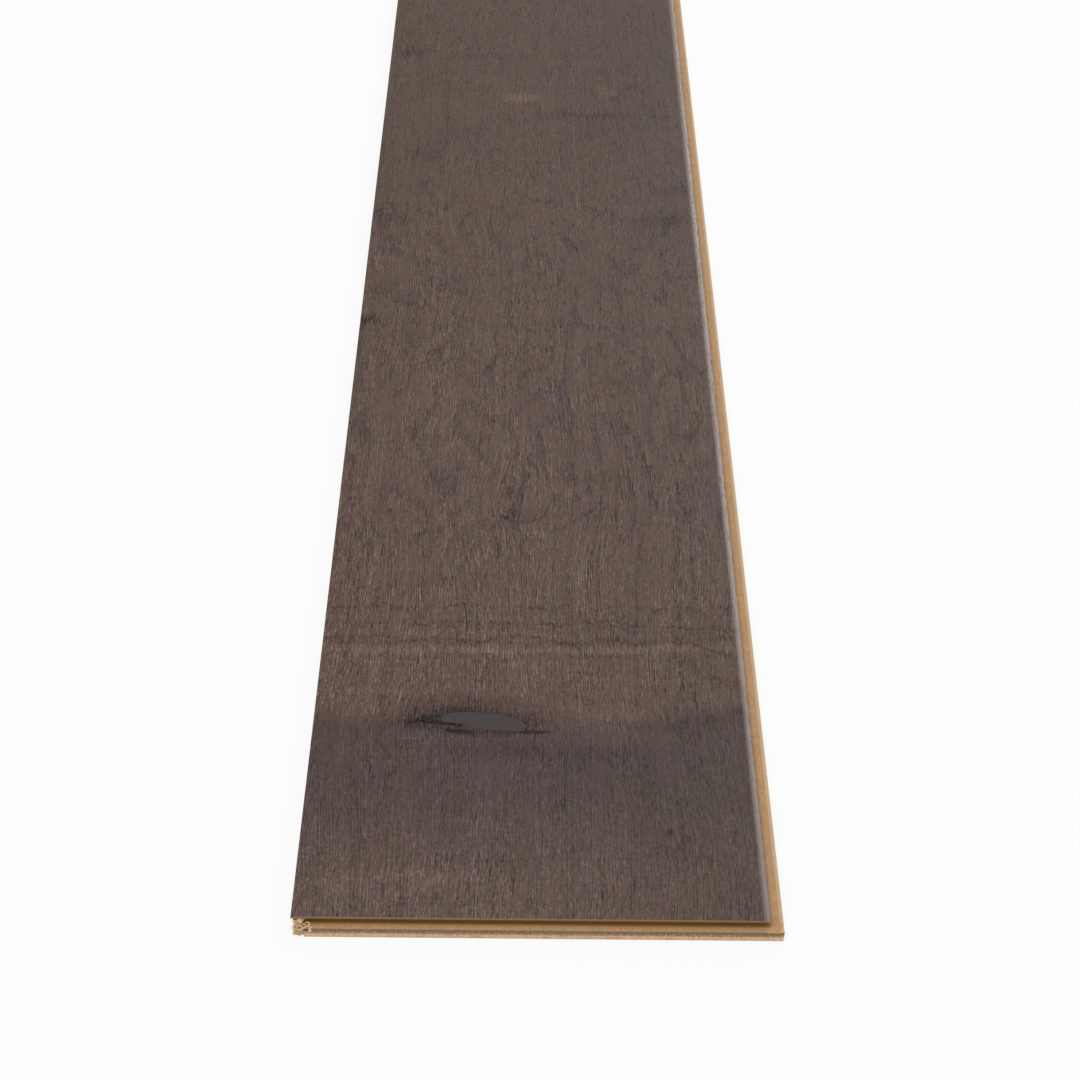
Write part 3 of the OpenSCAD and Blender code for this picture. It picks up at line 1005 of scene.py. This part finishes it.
# %% Its finish: the veneer's figure, with putty and black bark laid over it
knot_finish, bench, shader, place, looks = new_finish("Knot putty")
figure = bench.group(figure_tree, {"Place": place})
is_putty = bench.add("ShaderNodeAttribute", attribute_name="putty").outputs["Fac"]
is_black = bench.add("ShaderNodeAttribute", attribute_name="black").outputs["Fac"]
cloud = bench.stretched(place, (0.25, 0.4, 0.3), 3.0)
grey = bench.tint(cloud, shade(60, 53, 54), shade(69, 61, 62))
crust = bench.stretched(place, (1.4, 1.4, 1.4), 3.0, 0.6)
bark = bench.tint(bench.ramp(crust, 0.45, 0.75), shade(24, 18, 20), shade(70, 48, 42))
colour = bench.tint(is_putty, figure["Colour"], grey)
colour = bench.tint(is_black, colour, bark)
# Painted glints: pale flecks on the black bark stand in for the light that its crumbs catch.
painted_glint = bench.times(bench.ramp(bench.stretched(place, (1.1, 1.1, 1.0), 2.0), 0.64, 0.70),
                    bench.ramp(is_black, 0.3, 0.6))
colour = bench.tint(bench.times(painted_glint, 0.5), colour, shade(150, 138, 130))
bench.plug(shader.inputs["Base Color"], colour)
rough = bench.plus(figure["Roughness"], bench.times(is_putty, -0.12), bench.times(is_black, -0.18))
bench.plug(shader.inputs["Roughness"], rough)
shader.inputs["Specular IOR Level"].default_value = VENEER_SHEEN
plain = bench.math("MAXIMUM", is_putty, is_black)
figured = bench.math("SUBTRACT", 1.0, plain)
relief(bench, shader, bench.times(figure["Height"], figured), VENEER_RELIEF)
knot.data.materials.append(knot_finish)
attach(knot, "root")
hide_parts("knot_filler")
print("finish:", knot_finish.name)

# %% [markdown]
# ## Frayed edges
# A saw leaves a fur of loose fibres where it comes out of softwood: along the foot of the lips,
# and thickest at the near left corner, where the rebate's cutter tore the backing. Fur repeats
# along an edge, so a node tree makes it: fibres set out at random along a path, each leaning and
# curling its own way.


# %% The fraying tree
def fraying_tree():
    tree = bpy.data.node_groups.new("Frayed edge", "GeometryNodeTree")
    sockets = (
        ("Edge", "NodeSocketGeometry"), ("Fibres", "NodeSocketInt"),
        ("Fibre length", "NodeSocketFloat"), ("Thickness", "NodeSocketFloat"),
        ("Spread", "NodeSocketVector"), ("Lean", "NodeSocketVector"),
        ("Curl", "NodeSocketFloat"), ("Seed", "NodeSocketInt"), ("Material", "NodeSocketMaterial"),
    )
    for label, kind in sockets:
        tree.interface.new_socket(label, in_out="INPUT", socket_type=kind)
    tree.interface.new_socket("Fur", in_out="OUTPUT", socket_type="NodeSocketGeometry")
    bench = Bench(tree)
    takes = tree.nodes.new("NodeGroupInput").outputs
    gives = tree.nodes.new("NodeGroupOutput").inputs

    def one_of(low, high, seed):
        """A random vector for each point."""
        made = bench.add("FunctionNodeRandomValue", data_type="FLOAT_VECTOR")
        for label, value in (("Min", low), ("Max", high)):
            bench.plug(next(s for s in made.inputs if s.identifier == label), value)
        bench.plug(made.inputs["Seed"], bench.math("ADD", takes["Seed"], seed))
        return made.outputs[0]

    path = bench.add("GeometryNodeMeshToCurve", {"Mesh": takes["Edge"]}).outputs["Curve"]
    roots = bench.add("GeometryNodeCurveToPoints", {"Curve": path, "Count": takes["Fibres"]})
    nudge = bench.vector("MULTIPLY", one_of((-1, -1, -1), (1, 1, 1), 1), takes["Spread"])
    roots = bench.add("GeometryNodeSetPosition", {
        "Geometry": roots.outputs["Points"], "Offset": nudge}).outputs["Geometry"]
    stem = bench.add("GeometryNodeCurvePrimitiveLine", {"End": (0.0, 0.0, 1.0)}).outputs["Curve"]
    stem = bench.add("GeometryNodeResampleCurve", {"Curve": stem, "Count": 7}).outputs["Curve"]
    lean = bench.vector("MULTIPLY", one_of((-1, -1, -1), (1, 1, 1), 2), takes["Lean"])
    size = bench.times(takes["Fibre length"], bench.parts(one_of((0.3, 0, 0), (1, 0, 0), 3))[0])
    fur = bench.add("GeometryNodeInstanceOnPoints", {
        "Points": roots, "Instance": stem,
        "Rotation": bench.add("FunctionNodeEulerToRotation", {"Euler": lean}).outputs["Rotation"],
        "Scale": bench.point(size, size, size)}).outputs["Instances"]
    fur = bench.add("GeometryNodeRealizeInstances", {"Geometry": fur}).outputs["Geometry"]
    along = bench.add("GeometryNodeSplineParameter").outputs["Factor"]
    where = bench.add("GeometryNodeInputPosition").outputs["Position"]
    stir = bench.add("ShaderNodeTexNoise", {"Vector": where, "Scale": 900.0}).outputs["Color"]
    stir = bench.vector("SUBTRACT", stir, (0.5, 0.5, 0.5))
    amount = bench.times(along, takes["Curl"])
    fur = bench.add("GeometryNodeSetPosition", {
        "Geometry": fur, "Offset": bench.vector(
            "MULTIPLY", stir, bench.point(amount, amount, amount))}).outputs["Geometry"]
    ring = bench.add("GeometryNodeCurvePrimitiveCircle", {
        "Resolution": 4, "Radius": takes["Thickness"]}).outputs["Curve"]
    fur = bench.add("GeometryNodeCurveToMesh", {
        "Curve": fur, "Profile Curve": ring, "Fill Caps": True,
        "Scale": bench.math("MULTIPLY_ADD", along, -0.7, 1.0)}).outputs["Mesh"]
    fur = bench.add("GeometryNodeRealizeInstances", {"Geometry": fur}).outputs["Geometry"]
    fur = bench.add("GeometryNodeSetMaterial", {
        "Geometry": fur, "Material": takes["Material"]}).outputs["Geometry"]
    bench.plug(gives["Fur"], fur)
    return tree


fray_tree = fraying_tree()
print("tree:", fray_tree.name, "with", len(fray_tree.nodes), "nodes")


# %% Finish of loose fibres: the backing's pale wood, torn and dry
loose_finish, bench, shader, place, looks = new_finish("Torn fibre")
speck = bench.stretched(place, (1.6, 1.6, 1.6), 2.0, 0.6)
straw = bench.tint(bench.ramp(speck, 0.35, 0.7), shade(236, 212, 174), shade(206, 168, 124))
bench.plug(shader.inputs["Base Color"], straw)
shader.inputs["Roughness"].default_value = 0.8
shader.inputs["Specular IOR Level"].default_value = 0.2
print("finish:", loose_finish.name)

# %% Finish of the torn wad: the same wood, with darker patches set by noise as painted shade in its crevices
wad_finish, bench, shader, place, looks = new_finish("Torn wad")
speck = bench.stretched(place, (1.1, 0.8, 0.9), 2.0, 0.6)
# Painted shade: the darker tan stands in for the shade in the wad's crevices
straw = bench.tint(bench.ramp(speck, 0.38, 0.62), shade(184, 146, 100), shade(244, 218, 178))
bench.plug(shader.inputs["Base Color"], straw)
shader.inputs["Roughness"].default_value = 0.85
shader.inputs["Specular IOR Level"].default_value = 0.2
print("finish:", wad_finish.name)


# %% From a path to fur
HAIRBREADTH = 0.02 * MM


def keep_within(mesh):
    """Press whatever would stand past the board's own outline back onto it."""
    low, high = solid_box
    for point in mesh.vertices:
        point.co = [min(max(c, a + HAIRBREADTH), b - HAIRBREADTH)
                    for c, a, b in zip(point.co, low, high)]


def fray(name, path, **settings):
    """Fur along a path of points, as a plain mesh that rides on the board."""
    mesh = bpy.data.meshes.new(name)
    mesh.from_pydata(path, [(i, i + 1) for i in range(len(path) - 1)], [])
    edge = bpy.data.objects.new(name + "_path", mesh)
    bpy.context.scene.collection.objects.link(edge)
    modifier = edge.modifiers.new("fray", "NODES")
    modifier.node_group = fray_tree
    ids = {item.name: item.identifier for item in fray_tree.interface.items_tree
           if item.in_out == "INPUT"}
    settings["material"] = loose_finish
    for label, value in settings.items():
        modifier[ids[label.replace("_", " ").capitalize()]] = value
    bpy.context.view_layer.update()
    seen = edge.evaluated_get(bpy.context.evaluated_depsgraph_get())
    fur_mesh = bpy.data.meshes.new_from_object(seen)
    edge.modifiers.remove(modifier)
    bpy.data.objects.remove(edge)
    keep_within(fur_mesh)
    fur = bpy.data.objects.new(name, fur_mesh)
    bpy.context.scene.collection.objects.link(fur)
    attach(fur, "root")
    print(name, len(fur_mesh.polygons), "faces")


print("fray() ready")

# %% Fur along the foot of both lips, rooted a little inside the lip and under the core
ROOT_DEPTH = 0.12
end_front = -end_reach + ROOT_DEPTH
side_front = face_half + side_reach - ROOT_DEPTH
fur_height = backing_t - 0.3
lip_end = (face_high.y - face_low.y) / MM - end_reach - 1
fray("fur_on_end_lip",
     [off_floor(-face_half + side_reach + 2, end_front, fur_height),
      off_floor(side_front - 0.4, end_front, fur_height)],
     fibres=300, fibre_length=1.3 * MM, thickness=0.05 * MM, spread=(1 * MM, 0.0, 0.5 * MM),
     lean=(0.03, 1.2, 0.0), curl=0.12 * MM, seed=3)
fray("fur_on_side_lip",
     [off_floor(side_front, -end_reach + 0.6, fur_height),
      off_floor(side_front, lip_end, fur_height)],
     fibres=700, fibre_length=1.2 * MM, thickness=0.05 * MM, spread=(0.0, 1 * MM, 0.5 * MM),
     lean=(1.2, 0.03, 0.0), curl=0.12 * MM, seed=5)

# %% [markdown]
# ## The torn corner
# At the near left corner the cutter left a wad of torn wood standing in the rebate, with a few
# thick curls over it. The wad is a block pulled about by noise; the curls are swept along short
# paths listed one by one, as a maker would lay them with tweezers.


# %% The wad
# Noise vectors are offset by the time of day unless they get a seed
WAD_SEED = 4
noise.seed_set(WAD_SEED)


def wad(name, low, high, pull, seed):
    """A ragged block between two corners on the ruler, heights over the floor."""
    block = bmesh.new()
    bmesh.ops.create_cube(block, size=1.0)
    bmesh.ops.subdivide_edges(block, edges=block.edges, cuts=11, use_grid_fill=True)
    low, high = off_floor(*low), off_floor(*high)
    middle, half = (low + high) / 2, (high - low) / 2
    for corner in block.verts:
        unit = corner.co * 2
        unit = unit.lerp(unit.normalized() * 1.15, 0.35)
        corner.co = middle + Vector(a * b for a, b in zip(unit, half))
        where = corner.co / MM
        coarse = noise.noise_vector(where * 0.55 + Vector((seed, 0, 0)))
        fine = noise.noise_vector(where * 1.5 + Vector((0, seed, 0)))
        strand = noise.noise(Vector((where.x * 2.4, where.y * 0.5, where.z * 0.9 + seed)))
        corner.co += (coarse * pull + fine * pull * 0.5) * MM
        corner.co.y += strand * pull * 0.8 * MM
    bmesh.ops.recalc_face_normals(block, faces=block.faces)
    mesh = bpy.data.meshes.new(name)
    block.to_mesh(mesh)
    block.free()
    keep_within(mesh)
    piece = bpy.data.objects.new(name, mesh)
    bpy.context.scene.collection.objects.link(piece)
    piece.data.materials.append(wad_finish)
    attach(piece, "root")
    print(name, len(mesh.polygons), "faces")


rebate_left = -face_half + 1.2
rebate_right = -face_half + side_reach + 0.4
wad("torn_wad", (rebate_left, -2.8, 0.05), (rebate_right, 4.0, 3.3), 0.7, 2.0)
wad("torn_wad_upper", (rebate_left + 0.1, -1.5, 2.6), (rebate_right - 0.8, 1.8, 5.9), 0.7, 6.0)

# %% The curls, laid over the wad: across, along and height over the floor
CURL_RADIUS = 0.25
CURLS = {
    "low_loop": [(-92.8, -2.4, 5.3), (-92.2, -3.2, 4.0), (-91.0, -3.3, 3.3), (-90.0, -3.2, 3.9),
                 (-90.2, -3.0, 5.0), (-91.2, -2.6, 5.5), (-92.0, -2.8, 4.8)],
    "rising_curl": [(-92.0, -3.2, 1.6), (-91.2, -3.3, 2.6), (-90.4, -3.3, 3.4), (-89.6, -3.3, 4.4),
                    (-88.6, -3.2, 5.1), (-87.6, -2.8, 5.2), (-87.2, -2.0, 5.6), (-88.0, -1.4, 6.2),
                    (-89.0, -1.8, 5.9)],
    "small_curl": [(-90.4, -1.4, 5.2), (-89.6, -2.2, 5.6), (-88.9, -2.6, 5.3), (-88.9, -2.0, 5.1)],
    "lip_strand": [(-88.0, -2.9, 5.0), (-87.2, -3.2, 5.0), (-86.7, -3.3, 4.9), (-86.2, -3.25, 4.8)],
    "corner_shred": [(-94.4, -0.9, 5.7), (-93.6, -1.6, 5.9), (-92.8, -1.8, 5.3), (-92.0, -1.2, 6.0)],
    "low_shred": [(-93.4, -2.6, 0.5), (-92.2, -3.1, 0.8), (-91.0, -3.3, 0.5), (-90.0, -3.2, 1.0)],
}
print(len(CURLS), "paths for curls")

# %% Sweep the curls
curl_shape = bpy.data.curves.new("curls", "CURVE")
curl_shape.dimensions = "3D"
curl_shape.bevel_depth = CURL_RADIUS * MM
curl_shape.bevel_resolution = 2
curl_shape.resolution_u = 6
curl_shape.use_fill_caps = True
for path in CURLS.values():
    spline = curl_shape.splines.new("NURBS")
    spline.points.add(len(path) - 1)
    spline.use_endpoint_u = True
    spline.order_u = 3
    for i, (point, stop) in enumerate(zip(spline.points, path)):
        point.co = (*off_floor(*stop), 1.0)
        point.radius = 1.0 - 0.5 * abs(2 * i / (len(path) - 1) - 1) ** 2
curl_source = bpy.data.objects.new("curl_source", curl_shape)
bpy.context.scene.collection.objects.link(curl_source)
bpy.context.view_layer.update()
curl_mesh = bpy.data.meshes.new_from_object(
    curl_source.evaluated_get(bpy.context.evaluated_depsgraph_get()))
bpy.data.objects.remove(curl_source)
keep_within(curl_mesh)
curls = bpy.data.objects.new("torn_curls", curl_mesh)
bpy.context.scene.collection.objects.link(curls)
curls.data.materials.clear()
curls.data.materials.append(loose_finish)
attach(curls, "root")
print("curls:", len(CURLS), "with", len(curl_mesh.polygons), "faces")

# %% Loose fur over the torn corner
fray("fur_on_torn_corner",
     [off_floor(rebate_left, -2.2, 2.2), off_floor(rebate_right, -2.9, 3.0),
      off_floor(rebate_left + 0.5, -1.6, 5.0)],
     fibres=160, fibre_length=1.9 * MM, thickness=0.09 * MM, spread=(1.2 * MM, 0.5 * MM, 1.4 * MM),
     lean=(0.5, 2.6, 0.0), curl=1.0 * MM, seed=9)

# %% [markdown]
# ## A plain studio
# The board lies on a white floor under an even, pale sky. One broad lamp hangs over the near
# end, and a tall soft panel stands past the far right corner, for the sheen of the rolled edge
# on the right. The floor is white to the camera and keeps a little of its shadow.

# %% Floor
FLOOR_SIZE = 30.0
FLOOR_GLOW = 0.85
bpy.ops.mesh.primitive_plane_add(size=FLOOR_SIZE, location=(0.0, 0.0, 0.0))
floor = bpy.context.object
floor.name = "studio_floor"
paper = bpy.data.materials.new("Studio paper")
paper.use_nodes = True
bench = Bench(paper.node_tree)
shader = paper.node_tree.nodes["Principled BSDF"]
shader.inputs["Base Color"].default_value = (0.86, 0.86, 0.86, 1.0)
shader.inputs["Roughness"].default_value = 1.0
shader.inputs["Specular IOR Level"].default_value = 0.0
glow = bench.add("ShaderNodeEmission", {"Color": (1.0, 1.0, 1.0, 1.0), "Strength": 1.0})
rays = bench.add("ShaderNodeLightPath").outputs
seen = bench.math("MAXIMUM", rays["Is Camera Ray"], rays["Is Glossy Ray"])
mixed = bench.add("ShaderNodeMixShader", {0: bench.times(seen, FLOOR_GLOW)})
bench.plug(mixed.inputs[1], shader.outputs["BSDF"])
bench.plug(mixed.inputs[2], glow.outputs["Emission"])
bench.plug(paper.node_tree.nodes["Material Output"].inputs["Surface"], mixed.outputs["Shader"])
floor.data.materials.append(paper)
print("floor:", tuple(round(c, 1) for c in floor.dimensions))

# %% Sky and lamps
world = bpy.data.worlds.new("Studio sky")
world.use_nodes = True
bench = Bench(world.node_tree)
sky = world.node_tree.nodes["Background"]
sky.inputs["Color"].default_value = (1.0, 1.0, 1.0, 1.0)
rays = bench.add("ShaderNodeLightPath").outputs
SKY_LIGHT = 0.62
bench.plug(sky.inputs["Strength"], bench.plus(
    SKY_LIGHT, bench.times(rays["Is Camera Ray"], 1.0 - SKY_LIGHT)))
bpy.context.scene.world = world


def lamp(name, at, towards, size, watts):
    """A soft rectangular lamp that looks at a point."""
    light = bpy.data.lights.new(name, "AREA")
    light.shape = "RECTANGLE"
    light.size, light.size_y = size
    light.energy = watts
    hung = bpy.data.objects.new(name, light)
    hung.location = at
    hung.rotation_euler = (Vector(towards) - Vector(at)).to_track_quat("-Z", "Y").to_euler()
    bpy.context.scene.collection.objects.link(hung)
    return hung


lamp("lamp_over", (-0.6, -0.9, 2.2), (0.0, -0.2, 0.0), (1.6, 1.6), 22.0)
lamp("lamp_panel", (1.35, 2.4, 1.1), (0.0, 0.0, 0.0), (1.5, 1.1), 34.0)
print("sky at", SKY_LIGHT)

# %% [markdown]
# ## The camera
# The photograph looks down the board from behind its near end, with a longish lens and a trace
# of turn and roll. The place is given from the near edge of the face and the floor.

# %% Camera
CAMERA_BACK, CAMERA_UP, CAMERA_ASIDE = 809.8, 717.3, -4.16
PITCH, YAW, ROLL = 33.247, 0.4025, 0.8065
LENS, FILM_WIDTH, SEES_TO = 90.0, 36.0, 50.0
lens = bpy.data.cameras.new("photo_camera")
lens.lens = LENS
lens.sensor_width = FILM_WIDTH
lens.clip_end = SEES_TO
camera = bpy.data.objects.new("photo_camera", lens)
camera.location = off_floor(CAMERA_ASIDE, -CAMERA_BACK, CAMERA_UP)
aim = (Matrix.Rotation(math.radians(-YAW), 4, "Z")
       @ Matrix.Rotation(math.radians(90 - PITCH), 4, "X")
       @ Matrix.Rotation(math.radians(ROLL), 4, "Z"))
camera.rotation_euler = aim.to_euler()
bpy.context.scene.collection.objects.link(camera)
bpy.context.scene.camera = camera
bpy.context.scene.view_settings.view_transform = "Standard"
print("camera at", tuple(round(c, 3) for c in camera.location))

# %% Sizes and finish
print("solids", [[round(c, 4) for c in corner] for corner in solid_box])
